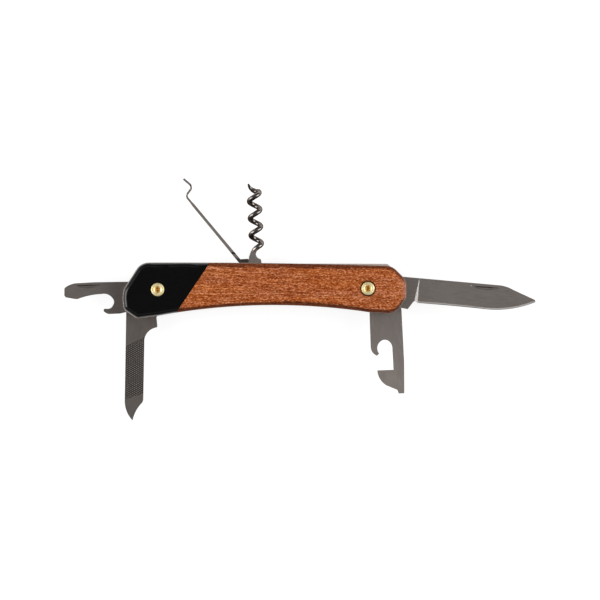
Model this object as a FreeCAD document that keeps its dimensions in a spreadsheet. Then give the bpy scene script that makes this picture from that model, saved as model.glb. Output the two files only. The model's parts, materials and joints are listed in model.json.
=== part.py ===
import FreeCAD, Part
import math
import os

import Sketcher
from FreeCAD import Placement, Rotation, Vector

# A folding pocket knife lying on its rear scale, with its tools open.
# +X runs along the handle, +Y towards its back, +Z from the rear scale to the front scale.
# The origin is on the rear scale's outer face, midway between the two pivots.

# Driving dimensions in millimetres, and rest angles in degrees.
SIZES = {
    # Outline of the handle, how far its centre lies below the pivots, and its pivots from its ends.
    "handle_length": 99.4,
    "handle_depth": 19.55,
    "handle_drop": 0.27,
    "left_pivot_inset": 12.53,
    "right_pivot_inset": 13.33,
    "end_corner": 5.0,
    "nose_corner": 8.0,
    "small_corner": 2.2,
    # Plates and covers, counted from the rear to the front.
    "scale_thickness": 3.8,
    "scale_setback": 0.18,
    "scale_edge_round": 1.5,
    "scale_joint_gap": 0.08,
    "liner_thickness": 0.6,
    "divider_thickness": 0.6,
    # Tool blanks and the play beside each.
    "blade_thickness": 2.45,
    "opener_thickness": 2.45,
    "file_thickness": 2.45,
    "side_play": 0.075,
    # Pivot rivets with rolled heads.
    "rivet_radius": 1.75,
    "rivet_head_radius": 2.45,
    "rivet_head_height": 0.9,
    "rivet_sink": 0.1,
    "rivet_rim_radius": 1.75,
    "rivet_rim_drop": 0.22,
    "rivet_recess_radius": 1.0,
    "rivet_recess_depth": 1.7,
    "rivet_head_gap": 0.1,
    "running_clearance": 0.05,
    # Round tangs that the back springs ride on.
    "tang_radius": 4.6,
    "spring_gap": 0.4,
    "spring_overlap": 4.5,
    "blade_spring_overlap": 8.0,
    "spring_shoulder": 6.83,
    "spring_band": 1.6,
    "spring_corner": 0.8,
    "spring_pin_setback": 3.1,
    "spring_pin_wall": 0.4,
    "spring_pin_radius": 0.9,
    "bottle_room_setback": 12.6,
    "bottle_rise_setback": 7.3,
    "file_rise_inset": 5.8,
    "file_room_inset": 9.4,
    "file_room_setback": 7.0,
    "shoulder_round": 1.5,
    # Main blade.
    "blade_length": 58.88,
    "blade_width": 8.7,
    "blade_rest_angle": -4.8,
    "blade_grind_depth": 0.95,
    "blade_plunge": 0.11,
    "blade_plunge_run": 1.2,
    "blade_bevel_width": 0.6,
    "blade_bevel_depth": 0.2,
    "blade_nick_start": 40.9,
    "blade_nick_rise": 3.5,
    "blade_nick_depth": 0.75,
    "nick_wheel_radius": 20.0,
    "nick_wall_angle": 60.0,
    # Can opener.
    "can_opener_length": 37.2,
    "can_opener_width": 11.5,
    "can_opener_rest_angle": -87.9,
    # Bottle opener.
    "bottle_opener_length": 32.8,
    "bottle_opener_width": 8.15,
    "bottle_opener_rest_angle": 181.0,
    "bottle_nick_start": 24.2,
    "bottle_nick_rise": 1.9,
    "bottle_nick_depth": 0.5,
    # Nail file.
    "file_length": 46.0,
    "file_width": 10.9,
    "file_rest_angle": -91.2,
    "file_cut_depth": 0.15,
    # The pin of the two back tools.
    "back_pin_left": 39.27,
    "back_pin_setback": 2.57,
    "back_pin_radius": 1.1,
    # Corkscrew.
    "corkscrew_rest_angle": 92.4,
    "corkscrew_tang_thickness": 2.6,
    "corkscrew_tang_radius": 3.0,
    "corkscrew_neck": 6.9,
    "worm_start": 6.42,
    "worm_pitch": 5.96,
    "worm_radius": 1.8,
    "worm_wire_radius": 0.9,
    "worm_tip_radius": 0.3,
    "worm_tip_sag": 0.8,
    "worm_offset": 0.72,
    "lane_clearance": 0.3,
    "spacer_radius": 3.0,
    # Strip hook.
    "hook_rest_angle": 129.2,
    "hook_reach": 40.9,
    "hook_offset": 2.28,
    "hook_width": 1.4,
    "hook_strip": 1.02,
    "hook_tip_strip": 0.78,
    "hook_tang_radius": 2.8,
    "hook_bend_radius": 1.5,
    "hook_groove_place": 9.65,
    "hook_groove_width": 0.6,
    "hook_groove_depth": 0.5,
    # How far a cutting shape passes the solid that it cuts.
    "overrun": 2.0,
}

# Full turns of the worm, and how its wire leads in from the tang.
WORM_TURNS = 4
QUARTERS_PER_TURN = 4
WORM_LEAD_SHARE = 0.55
WORM_SAG_QUARTERS = 2
WORM_TAPER_QUARTERS = 1
GAP_SAMPLES = 8

# Marks the middle point of an arc in an outline.
VIA = "via"
# Two places nearer than this are the same corner.
SAME_PLACE = 1e-4

# Corners of the handle as shares of its length and depth, from its centre.
TOP_LEFT_SHARES = (-0.433, 0.5)
NOSE_SHARES = (-0.5, -0.027)
LOW_LEFT_SHARES = (-0.4935, -0.344)
FOOT_SHARES = (-0.4487, -0.5)
BELLY_LEFT_SHARES = (-0.376, -0.458)
BELLY_SHARES = (0.026, -0.275)
BELLY_RIGHT_SHARES = (0.373, -0.4143)
LOW_RIGHT_SHARES = (0.4626, -0.44)
TAIL_LOW_SHARES = (0.5, -0.1554)
TAIL_HIGH_SHARES = (0.5, 0.165)
TOP_RIGHT_SHARES = (0.451, 0.416)
BACK_SHARES = (0.016, 0.478)
# The largest share of the handle's depth that each of its corner radii may take.
CORNER_LIMIT_SHARES = {"end_corner": 0.26, "nose_corner": 0.42, "small_corner": 0.115}

# The slanted joint between the black end and the wood: its upper and lower end.
JOINT_TOP_SHARES = (-0.176, 0.6)
JOINT_FOOT_SHARES = (-0.336, -0.6)
BEYOND_SHARE = 0.6

# Ends of the springs that fill a layer where no tool turns, as shares of the handle.
LEFT_BLOCK_SHARES = [
    (-0.42, 0.485),
    (-0.472, 0.15),
    (-0.485, -0.1),
    (-0.477, -0.33),
    (-0.445, -0.455),
    (-0.31, -0.385),
    (-0.262, -0.33),
]
RIGHT_BLOCK_SHARES = [
    (0.305, -0.31),
    (0.37, -0.36),
    (0.445, -0.33),
    (0.475, -0.14),
    (0.482, 0.05),
    (0.46, 0.27),
    (0.425, 0.395),
]

# Tops of the springs at their left, right and right tip, as shares of the handle's depth.
SPRING_LEFT_SHARE = 0.485
SPRING_RIGHT_SHARE = 0.4552
SPRING_TIP_SHARE = 0.4026

# The blade spring's lower edge: along the handle as shares of its length, and how far it lies below
# the middle spring's band, or in the last place above the band's top, as shares of the band.
BLADE_FLOOR_SHARES = [(-0.195, 0.47), (-0.034, 0.22)]
BLADE_CEILING_SHARES = (0.167, 0.15)
BLADE_SPRING_RISE_SHARE = 0.197
# How far the file spring's lower edge lies above that band over the file, as a share of the band.
FILE_ROOM_SHARE = 0.75

# Outlines of the tools from their pivot, as shares of each tool's length and width.
BLADE_HEEL_SHARES = [(0.2292, -0.69), (0.2453, -0.706), (0.2715, -0.431), (0.2825, -0.368, VIA)]
BLADE_EDGE_SHARES = [
    (0.2986, -0.424),
    (0.4826, -0.425, VIA),
    (0.6626, -0.447),
    (0.8707, -0.34, VIA),
    (1.0, -0.02),
]
BLADE_BACK_SHARES = [
    (0.9956, 0.069),
    (0.8617, 0.405),
    (0.8265, 0.497, VIA),
    (0.7752, 0.546),
    (0.1609, 0.586),
]
CAN_OPENER_SHARES = [
    (0.2, 0.02),
    (0.551, 0.01),
    (0.605, 0.065, VIA),
    (0.636, 0.191),
    (0.616, 0.263),
    (0.559, 0.211, VIA),
    (0.504, 0.313),
    (0.489, 0.448, VIA),
    (0.507, 0.583),
    (0.535, 0.645, VIA),
    (0.581, 0.668),
    (0.774, 0.675),
    (0.774, 0.183),
    (0.855, 0.25, VIA),
    (0.919, 0.442),
    (0.941, 0.595, VIA),
    (0.965, 0.765),
    (1.0, 0.804),
    (1.0, 0.978),
    (0.7, 1.012),
    (0.177, 0.996),
]
CAN_SHOULDER_SHARE = 0.177
BOTTLE_OPENER_SHARES = [
    (0.274, -0.368),
    (0.671, -0.379),
    (0.855, -0.357),
    (0.927, -0.307, VIA),
    (0.985, -0.193),
    (0.998, -0.135),
    (1.0, 0.162),
    (0.985, 0.245),
    (0.884, 0.326),
    (0.858, 0.326),
    (0.726, 0.184, VIA),
    (0.601, 0.134),
    (0.518, 0.199, VIA),
    (0.48, 0.362),
    (0.471, 0.491, VIA),
    (0.482, 0.617),
    (0.509, 0.744, VIA),
    (0.546, 0.775),
    (0.573, 0.768),
    (0.584, 0.828, VIA),
    (0.573, 0.914),
    (0.543, 0.985, VIA),
    (0.509, 1.0),
    (0.413, 0.993),
    (0.348, 0.939),
]
FILE_SHARES = [
    (0.143, -1.01),
    (0.85, -1.014),
    (0.931, -0.945, VIA),
    (1.0, -0.75),
    (0.926, -0.642, VIA),
    (0.861, -0.445),
    (0.841, -0.417),
    (0.383, -0.412),
    (0.32, -0.285, VIA),
    (0.288, -0.015),
    (0.276, 0.0),
    (0.213, -0.035),
]
FILE_SHOULDER_SHARE = 0.143
# The slightly sunk field of the file's teeth, run out past both long edges.
FILE_CUT_SHARES = [(0.4537, -1.15), (0.8587, -1.15), (0.7825, -0.275), (0.3466, -0.275)]

# The corkscrew's tang and neck, as shares of its neck length and its tang radius.
CORKSCREW_TANG_SHARES = [
    (0.25, -0.75),
    (0.56, -0.683),
    (0.65, -0.3, VIA),
    (0.8, -0.12),
    (1.0, -0.13),
    (1.0, 0.44),
    (0.725, 0.69),
    (0.25, 0.85),
]

# The strip hook's tang, and the corners of its S-bent end, as shares of its reach and offset.
HOOK_TANG_SHARES = [(0.122, -0.26), (0.158, 0.9)]
HOOK_THIN_SHARE = 0.775
HOOK_TIP_START_SHARE = 0.81
HOOK_FIRST_BEND_SHARE = 0.874
HOOK_SECOND_BEND_SHARES = (0.897, -0.72)
HOOK_POINT_SHARE = -0.4

doc = FreeCAD.newDocument("folding_pocket_knife")


class Size:
    """A length, with the expression on the sheet that gives it."""

    def __init__(self, value, text):
        self.value = value
        self.text = text

    def __add__(self, other):
        return Size(self.value + other.value, f"({self.text} + {other.text})")

    def __sub__(self, other):
        return Size(self.value - other.value, f"({self.text} - {other.text})")

    def __mul__(self, share):
        return Size(self.value * share, f"({self.text} * {share})")

    def __neg__(self):
        return self * -1

    def at_most(self, other):
        return Size(min(self.value, other.value), f"min({self.text}; {other.text})")


def fill_sheet():
    sheet = doc.addObject("Spreadsheet::Sheet", "Sizes")
    for row, (name, value) in enumerate(SIZES.items(), start=1):
        sheet.set(f"A{row}", name)
        sheet.set(f"B{row}", str(value))
        sheet.setAlias(f"B{row}", name)
    doc.recompute()


def size(name):
    return Size(SIZES[name], f"Sizes.{name}")


ZERO = Size(0.0, "0")


# Places that several pieces share.
HALF_SPACING = (size("handle_length") - size("left_pivot_inset") - size("right_pivot_inset")) * 0.5
HANDLE_SHIFT = (size("right_pivot_inset") - size("left_pivot_inset")) * 0.5
PIN_X = HALF_SPACING - size("back_pin_left")
PIN_Y = size("handle_depth") * BACK_SHARES[1] - size("handle_drop") - size("back_pin_setback")
OVERRUN = size("overrun")

# Widths of the three tool layers, and the height at which each plate and layer starts.
FILE_GAP = size("file_thickness") + size("side_play") * 2
OPENER_GAP = size("opener_thickness") + size("side_play") * 2
BLADE_GAP = size("blade_thickness") + size("side_play") * 2
REAR_LINER_Z = size("scale_thickness")
FILE_Z = REAR_LINER_Z + size("liner_thickness")
FILE_DIVIDER_Z = FILE_Z + FILE_GAP
OPENER_Z = FILE_DIVIDER_Z + size("divider_thickness")
BLADE_DIVIDER_Z = OPENER_Z + OPENER_GAP
BLADE_Z = BLADE_DIVIDER_Z + size("divider_thickness")
FRONT_LINER_Z = BLADE_Z + BLADE_GAP
FRONT_SCALE_Z = FRONT_LINER_Z + size("liner_thickness")
FRONT_Z = FRONT_SCALE_Z + size("scale_thickness")

# The lane of the folded corkscrew, across the file and opener layers.
LANE_Z = FILE_Z + (BLADE_DIVIDER_Z - FILE_Z) * 0.5
WORM_LENGTH = size("worm_start") + size("worm_pitch") * WORM_TURNS
WORM_REACH = size("worm_offset") + size("worm_radius") + size("worm_wire_radius")
LANE_FLOOR = PIN_Y - WORM_REACH - size("lane_clearance")
LANE_END = PIN_X + WORM_LENGTH + size("worm_wire_radius") + size("lane_clearance")
LANE_START = PIN_X - size("corkscrew_tang_radius") - size("spring_gap")

# The springs' lower face over the tangs, and the thin band under the corkscrew's lane.
SPRING_UNDERSIDE = size("tang_radius") + size("spring_gap")
SPRING_TOP_LEFT = size("handle_depth") * SPRING_LEFT_SHARE - size("handle_drop")
SPRING_TOP_RIGHT = size("handle_depth") * SPRING_RIGHT_SHARE - size("handle_drop")
SPRING_TIP = size("handle_depth") * SPRING_TIP_SHARE - size("handle_drop")
BAND_FLOOR = LANE_FLOOR - size("spring_band")
SPRING_PIN_X = LANE_START - size("spring_pin_setback")
SPRING_PIN_Y = BAND_FLOOR + size("spring_pin_wall") + size("spring_pin_radius")


def origin_plane(body, role):
    return next(item for item in body.Origin.OriginFeatures if item.Role == role)


def new_body(name):
    body = doc.addObject("PartDesign::Body", name)
    body.Label = name
    return body


def new_sketch(body, name, role="XY_Plane", lift=ZERO):
    sketch = body.newObject("Sketcher::SketchObject", f"{body.Name}_{name}")
    sketch.AttachmentSupport = [(origin_plane(body, role), "")]
    sketch.MapMode = "FlatFace"
    sketch.setExpression("AttachmentOffset.Base.z", lift.text)
    return sketch


def bind(sketch, kind, target, value):
    index = sketch.addConstraint(Sketcher.Constraint(kind, *target, value.value))
    sketch.setExpression(f"Constraints[{index}]", value.text)


def pin_point(sketch, geometry, position, point):
    bind(sketch, "DistanceX", (geometry, position), point[0])
    bind(sketch, "DistanceY", (geometry, position), point[1])


def vector(point):
    return Vector(point[0].value, point[1].value, 0)


def draw_stretch(sketch, start, via, end):
    """Add a line or an arc and give its index and the positions of its start and end."""
    if via is None:
        return sketch.addGeometry(Part.LineSegment(vector(start), vector(end)), False), 1, 2
    bow = Part.Arc(vector(start), vector(via), vector(end)).toShape().Curve
    circle = Part.Circle(bow.Center, Vector(0, 0, 1), bow.Radius)
    first = circle.parameter(vector(start))
    last = circle.parameter(vector(end))
    turn = (vector(via) - vector(start)).cross(vector(end) - vector(via))
    if turn.z > 0:
        return sketch.addGeometry(Part.ArcOfCircle(circle, first, last), False), 1, 2
    return sketch.addGeometry(Part.ArcOfCircle(circle, last, first), False), 2, 1


def draw_outline(sketch, points):
    """Draw a closed outline; a point marked VIA bends the stretch around it into an arc."""
    corners = []
    vias = {}
    for point in points:
        if len(point) == 2:
            corners.append(point)
        else:
            vias[len(corners) - 1] = point
    stretches = []
    for index, corner in enumerate(corners):
        following = corners[(index + 1) % len(corners)]
        stretches.append(draw_stretch(sketch, corner, vias.get(index), following))
    for stretch, following in zip(stretches, stretches[1:] + stretches[:1]):
        joint = (stretch[0], stretch[2], following[0], following[1])
        sketch.addConstraint(Sketcher.Constraint("Coincident", *joint))
    for index, (geometry, start, end) in enumerate(stretches):
        pin_point(sketch, geometry, start, corners[index])
        via = vias.get(index)
        if via is not None:
            mark = sketch.addGeometry(Part.Point(vector(via)), True)
            pin_point(sketch, mark, 1, via)
            sketch.addConstraint(Sketcher.Constraint("PointOnObject", mark, 1, geometry))


def draw_circle(sketch, centre, radius):
    circle = Part.Circle(vector(centre), Vector(0, 0, 1), radius.value)
    geometry = sketch.addGeometry(circle, False)
    pin_point(sketch, geometry, 3, centre)
    bind(sketch, "Radius", (geometry,), radius)


def pad(body, sketch, length):
    feature = body.newObject("PartDesign::Pad", f"{sketch.Name}_pad")
    feature.Profile = sketch
    feature.setExpression("Length", length.text)
    return feature


def check_cut(body, before):
    doc.recompute()
    if not body.Shape.Volume < before - SAME_PLACE:
        raise RuntimeError(f"{body.Label}: {body.Tip.Name} cuts nothing")


def pocket(body, sketch, depth):
    """Cut downwards from the sketch."""
    doc.recompute()
    before = body.Shape.Volume
    feature = body.newObject("PartDesign::Pocket", f"{sketch.Name}_pocket")
    feature.Profile = sketch
    feature.setExpression("Length", depth.text)
    check_cut(body, before)


def plate(name, points, bottom, thickness):
    body = new_body(name)
    outline = new_sketch(body, "outline", lift=bottom)
    draw_outline(outline, points)
    pad(body, outline, thickness)
    return body


def drill(body, name, centres, radius, top, depth):
    holes = new_sketch(body, name, lift=top)
    for centre in centres:
        draw_circle(holes, centre, radius)
    pocket(body, holes, depth)


def upright_edges(shape, corners):
    names = []
    for index, edge in enumerate(shape.Edges, start=1):
        first, last = edge.Vertexes[0].Point, edge.Vertexes[-1].Point
        upright = math.hypot(first.x - last.x, first.y - last.y) < SAME_PLACE
        foot = Vector(first.x, first.y, 0)
        if upright and any((foot - vector(corner)).Length < SAME_PLACE for corner in corners):
            names.append(f"Edge{index}")
    return names


def rounded(body, name, edges, radius):
    feature = body.newObject("PartDesign::Fillet", f"{body.Name}_{name}")
    feature.Base = (feature.BaseFeature, edges)
    feature.setExpression("Radius", radius.text)
    doc.recompute()


def round_corners(body, name, corners, radius):
    doc.recompute()
    rounded(body, name, upright_edges(body.Tip.Shape, corners), radius)


def place(piece, x=ZERO, y=ZERO, z=ZERO, angle=None):
    if angle is not None:
        piece.Placement = Placement(Vector(), Rotation(Vector(0, 0, 1), SIZES[angle]))
        piece.setExpression("Placement.Rotation.Angle", f"Sizes.{angle}")
    for axis, value in zip("xyz", (x, y, z)):
        piece.setExpression(f"Placement.Base.{axis}", value.text)


def along_handle(share):
    return size("handle_length") * share + HANDLE_SHIFT


def on_handle(shares, setback=ZERO):
    """A place on the handle, drawn in all round by the setback."""
    along = (size("handle_length") - setback * 2) * shares[0] + HANDLE_SHIFT
    across = (size("handle_depth") - setback * 2) * shares[1] - size("handle_drop")
    return (along, across) + tuple(shares[2:])


def on_tool(shares, length, width):
    return [(length * along, width * across, *mark) for along, across, *mark in shares]


def pivots():
    return [(-HALF_SPACING, ZERO), (HALF_SPACING, ZERO)]


def pins():
    return {
        "back": ((PIN_X, PIN_Y), size("back_pin_radius") + size("running_clearance")),
        "spring": ((SPRING_PIN_X, SPRING_PIN_Y), size("spring_pin_radius") + size("running_clearance")),
    }


def handle_plate(name, thickness, setback=ZERO):
    """A plate of the handle's outline, with its corners rounded."""
    corners = {
        "end_corner": [
            TOP_LEFT_SHARES, TOP_RIGHT_SHARES, TAIL_HIGH_SHARES, TAIL_LOW_SHARES, LOW_RIGHT_SHARES
        ],
        "nose_corner": [NOSE_SHARES],
        "small_corner": [LOW_LEFT_SHARES, FOOT_SHARES],
    }
    outline = [
        TOP_LEFT_SHARES,
        NOSE_SHARES,
        LOW_LEFT_SHARES,
        FOOT_SHARES,
        BELLY_LEFT_SHARES,
        BELLY_SHARES + (VIA,),
        BELLY_RIGHT_SHARES,
        LOW_RIGHT_SHARES,
        TAIL_LOW_SHARES,
        TAIL_HIGH_SHARES,
        TOP_RIGHT_SHARES,
        BACK_SHARES + (VIA,),
    ]
    body = plate(name, [on_handle(shares, setback) for shares in outline], ZERO, thickness)
    for corner, places in corners.items():
        radius = size(corner).at_most(size("handle_depth") * CORNER_LIMIT_SHARES[corner])
        round_corners(body, corner, [on_handle(shares, setback) for shares in places], radius)
    return body


def drill_plate(body, thickness):
    """Rivet holes and pin holes right through a plate."""
    top = thickness + OVERRUN
    depth = top + OVERRUN
    drill(body, "rivet_holes", pivots(), size("rivet_radius") + size("running_clearance"), top, depth)
    for name, (centre, radius) in pins().items():
        drill(body, f"{name}_pin_hole", [centre], radius, top, depth)


def liner(name, z, thickness):
    body = handle_plate(name, thickness)
    drill_plate(body, thickness)
    place(body, z=z)
    return body


def file_divider():
    """The rear divider, cut away at the back for the corkscrew's lane."""
    thickness = size("divider_thickness")
    body = handle_plate("file_divider", thickness)
    lane = new_sketch(body, "lane", lift=thickness + OVERRUN)
    ceiling = PIN_Y + size("handle_depth")
    floor_ends = [(LANE_START, LANE_FLOOR), (LANE_END, LANE_FLOOR)]
    draw_outline(lane, floor_ends + [(LANE_END, ceiling), (LANE_START, ceiling)])
    pocket(body, lane, thickness + OVERRUN * 2)
    top = thickness + OVERRUN
    rivet_hole = size("rivet_radius") + size("running_clearance")
    drill(body, "rivet_holes", pivots(), rivet_hole, top, top + OVERRUN)
    centre, radius = pins()["spring"]
    drill(body, "spring_pin_hole", [centre], radius, top, top + OVERRUN)
    place(body, z=FILE_DIVIDER_Z)
    return body


def outer_edges(shape, height):
    names = []
    for index, edge in enumerate(shape.Edges, start=1):
        if all(abs(corner.Point.z - height.value) < SAME_PLACE for corner in edge.Vertexes):
            names.append(f"Edge{index}")
    return names


def scale_blank(side, outer, z):
    """One whole cover, before it is parted into the wood and the black end."""
    thickness = size("scale_thickness")
    body = handle_plate(f"{side}_scale_blank", thickness, size("scale_setback"))
    doc.recompute()
    rounded(body, "edge_round", outer_edges(body.Tip.Shape, outer), size("scale_edge_round"))
    top = thickness + OVERRUN
    rivet_hole = size("rivet_radius") + size("running_clearance")
    drill(body, "rivet_holes", pivots(), rivet_hole, top, top + OVERRUN)
    head_radius = size("rivet_head_radius") + size("rivet_head_gap")
    head_depth = size("rivet_head_height") + size("rivet_sink")
    if outer is ZERO:
        drill(body, "head_seats", pivots(), head_radius, head_depth, head_depth + OVERRUN)
    else:
        drill(body, "head_seats", pivots(), head_radius, top, head_depth + OVERRUN)
    place(body, z=z)
    return body


def joint_cutter(name, gap, z):
    """The block left of the slanted joint, over the whole thickness of a cover."""
    top = on_handle(JOINT_TOP_SHARES)
    foot = on_handle(JOINT_FOOT_SHARES)
    high_left = on_handle((-BEYOND_SHARE, BEYOND_SHARE))
    low_left = on_handle((-BEYOND_SHARE, -BEYOND_SHARE))
    points = [(top[0] + gap, top[1]), high_left, low_left, (foot[0] + gap, foot[1])]
    body = plate(name, points, -OVERRUN, size("scale_thickness") + OVERRUN * 2)
    place(body, z=z)
    return body


def scale_pair(side, outer, z):
    blank = scale_blank(side, outer, z)
    black = doc.addObject("Part::Common", f"{side}_black_scale")
    black.Base = blank
    black.Tool = joint_cutter(f"{side}_black_side", ZERO, z)
    wood = doc.addObject("Part::Cut", f"{side}_wood_scale")
    wood.Base = blank
    wood.Tool = joint_cutter(f"{side}_wood_side", size("scale_joint_gap"), z)
    return [wood, black]


def rivet(name, x):
    """A pivot rivet whose rolled heads each have a funnel-shaped recess."""
    body = new_body(name)
    profile = new_sketch(body, "profile", role="XZ_Plane")
    rear = size("rivet_sink")
    front = FRONT_Z - size("rivet_sink")
    middle = FRONT_Z * 0.5
    half = [
        (ZERO, size("rivet_recess_depth")),
        (size("rivet_recess_radius"), size("rivet_recess_depth") - size("rivet_recess_radius")),
        (size("rivet_recess_radius"), size("rivet_rim_drop")),
        (size("rivet_rim_radius"), ZERO),
        (size("rivet_head_radius"), size("rivet_rim_drop")),
        (size("rivet_head_radius"), size("rivet_head_height")),
        (size("rivet_radius"), size("rivet_head_height")),
    ]
    lower = [(radius, rear + drop) for radius, drop in half]
    upper = [(radius, front - drop) for radius, drop in reversed(half)]
    draw_outline(profile, lower + [(size("rivet_radius"), middle)] + upper)
    turned = body.newObject("PartDesign::Revolution", f"{name}_turned")
    turned.Profile = profile
    turned.ReferenceAxis = (profile, ["V_Axis"])
    turned.Angle = 360
    place(body, x=x)
    return body


def straight_pin(name, centre, radius):
    """A hidden pin, flush with the outer faces of the two liners."""
    body = new_body(name)
    section = new_sketch(body, "section")
    draw_circle(section, (ZERO, ZERO), radius)
    pad(body, section, FRONT_SCALE_Z - REAR_LINER_Z)
    place(body, centre[0], centre[1], REAR_LINER_Z)
    return body


def spring_corners(body, corners):
    round_corners(body, "corner", corners, size("spring_corner"))


def drill_spring(body, gap, pivot, pin_names):
    top = gap + OVERRUN
    if pivot is not None:
        rivet_hole = size("rivet_radius") + size("running_clearance")
        drill(body, "rivet_hole", [pivot], rivet_hole, top, top + OVERRUN)
    for name in pin_names:
        centre, radius = pins()[name]
        drill(body, f"{name}_pin_hole", [centre], radius, top, top + OVERRUN)


def blade_spring():
    """The front spring: held at the left rivet, bearing on the blade's tang at the right."""
    end = HALF_SPACING + size("blade_spring_overlap")
    tip = (end, SPRING_TIP)
    shoulder = (HALF_SPACING + size("spring_shoulder"), SPRING_TOP_RIGHT)
    band = size("spring_band")
    floor = [(along_handle(along), BAND_FLOOR - band * drop) for along, drop in BLADE_FLOOR_SHARES]
    along, lift = BLADE_CEILING_SHARES
    floor.append((along_handle(along), LANE_FLOOR + band * lift))
    rise = (along_handle(BLADE_SPRING_RISE_SHARE), SPRING_UNDERSIDE)
    block = [on_handle(shares) for shares in LEFT_BLOCK_SHARES]
    points = [(end, SPRING_UNDERSIDE), tip, shoulder] + block + floor + [rise]
    body = plate("blade_spring", points, ZERO, BLADE_GAP)
    spring_corners(body, [tip])
    drill_spring(body, BLADE_GAP, pivots()[0], ["back", "spring"])
    place(body, z=BLADE_Z)
    return body


def opener_spring():
    """The middle spring, bearing on both openers' tangs and passing under the corkscrew."""
    right = HALF_SPACING + size("spring_overlap")
    left = -right
    can_rise = LANE_END + size("spring_band") + size("lane_clearance") * 2
    tips = [(right, SPRING_TIP), (left, SPRING_TOP_LEFT)]
    points = [
        (right, SPRING_UNDERSIDE),
        tips[0],
        (LANE_END + size("spring_band"), SPRING_TOP_RIGHT),
        (LANE_END, LANE_FLOOR),
        (LANE_START, LANE_FLOOR),
        (LANE_START, SPRING_TOP_RIGHT),
        tips[1],
        (left, SPRING_UNDERSIDE),
        (LANE_START - size("bottle_room_setback"), SPRING_UNDERSIDE),
        (LANE_START - size("bottle_rise_setback"), BAND_FLOOR),
        (LANE_END, BAND_FLOOR),
        (can_rise, SPRING_UNDERSIDE),
    ]
    body = plate("opener_spring", points, ZERO, OPENER_GAP)
    spring_corners(body, tips)
    drill_spring(body, OPENER_GAP, None, ["spring"])
    place(body, z=OPENER_Z)
    return body


def file_spring():
    """The rear spring: held at the right rivet, bearing on the file's tang, rebated for the hook."""
    left = -(HALF_SPACING + size("spring_overlap"))
    tip = (left, SPRING_TOP_LEFT)
    block = [on_handle(shares) for shares in RIGHT_BLOCK_SHARES]
    points = block + [
        (LANE_END + size("spring_band"), SPRING_TOP_RIGHT),
        (LANE_END, LANE_FLOOR),
        (LANE_START, LANE_FLOOR),
        (LANE_START, SPRING_TOP_RIGHT),
        tip,
        (left, SPRING_UNDERSIDE),
        (size("file_rise_inset") - HALF_SPACING, SPRING_UNDERSIDE),
        (size("file_room_inset") - HALF_SPACING, BAND_FLOOR + size("spring_band") * FILE_ROOM_SHARE),
        (LANE_START - size("file_room_setback"), BAND_FLOOR),
        (LANE_END, BAND_FLOOR),
    ]
    body = plate("file_spring", points, ZERO, FILE_GAP)
    spring_corners(body, [tip])
    depth = size("hook_width") + size("side_play") * 2
    rebate = new_sketch(body, "rebate", lift=depth)
    floor = PIN_Y - size("hook_tang_radius") - size("spring_gap")
    far = left - OVERRUN
    ceiling = SPRING_TOP_LEFT + OVERRUN
    edge = LANE_START + OVERRUN
    draw_outline(rebate, [(far, floor), (edge, floor), (edge, ceiling), (far, ceiling)])
    pocket(body, rebate, depth + OVERRUN)
    drill_spring(body, FILE_GAP, pivots()[1], ["spring"])
    place(body, z=FILE_Z)
    return body


def tang():
    """The round end of a tool behind its pivot: lower corner, arc and upper corner."""
    radius = size("tang_radius")
    return [(ZERO, radius), (-radius, ZERO, VIA), (ZERO, -radius)]


def tool(name, outline, thickness):
    """A flat tool about its pivot, with the same thickness each side of its middle plane."""
    body = plate(name, outline, thickness * -0.5, thickness)
    top = thickness * 0.5 + OVERRUN
    bore = size("rivet_radius") + size("running_clearance")
    drill(body, "pivot_hole", [(ZERO, ZERO)], bore, top, top * 2)
    return body


def nail_nick(body, start, rise, depth, thickness):
    """A groove left by a tilted wheel: steep towards the tool's back, sloping up towards its edge."""
    doc.recompute()
    before = body.Shape.Volume
    side = math.copysign(1, rise.value)
    wheel = body.newObject("PartDesign::SubtractiveCylinder", f"{body.Name}_nick")
    wheel.setExpression("Radius", "Sizes.nick_wheel_radius")
    wheel.setExpression("Height", "Sizes.nick_wheel_radius")
    wheel.Placement = Placement(Vector(), Rotation(Vector(side, 0, 0), SIZES["nick_wall_angle"]))
    wheel.setExpression("Placement.Rotation.Angle", "Sizes.nick_wall_angle")
    angle = "Sizes.nick_wall_angle * 1 deg"
    floor = thickness * 0.5 - depth
    wheel.setExpression("Placement.Base.x", start.text)
    wheel.setExpression("Placement.Base.y", f"{rise.text} + Sizes.nick_wheel_radius * cos({angle}) * {side}")
    wheel.setExpression("Placement.Base.z", f"{floor.text} + Sizes.nick_wheel_radius * sin({angle})")
    check_cut(body, before)


def main_blade():
    thickness = size("blade_thickness")
    stretches = (BLADE_HEEL_SHARES, BLADE_EDGE_SHARES, BLADE_BACK_SHARES)
    heel, edge, back = [on_tool(shares, size("blade_length"), size("blade_width")) for shares in stretches]
    body = tool("main_blade", heel + edge + back + tang(), thickness)
    grind_blade(body, thickness)
    sharpen_blade(body, [vector(point) for point in edge if VIA not in point], thickness)
    nail_nick(body, size("blade_nick_start"), size("blade_nick_rise"), size("blade_nick_depth"), thickness)
    place(body, HALF_SPACING, ZERO, BLADE_Z + BLADE_GAP * 0.5, "blade_rest_angle")
    return body


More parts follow.
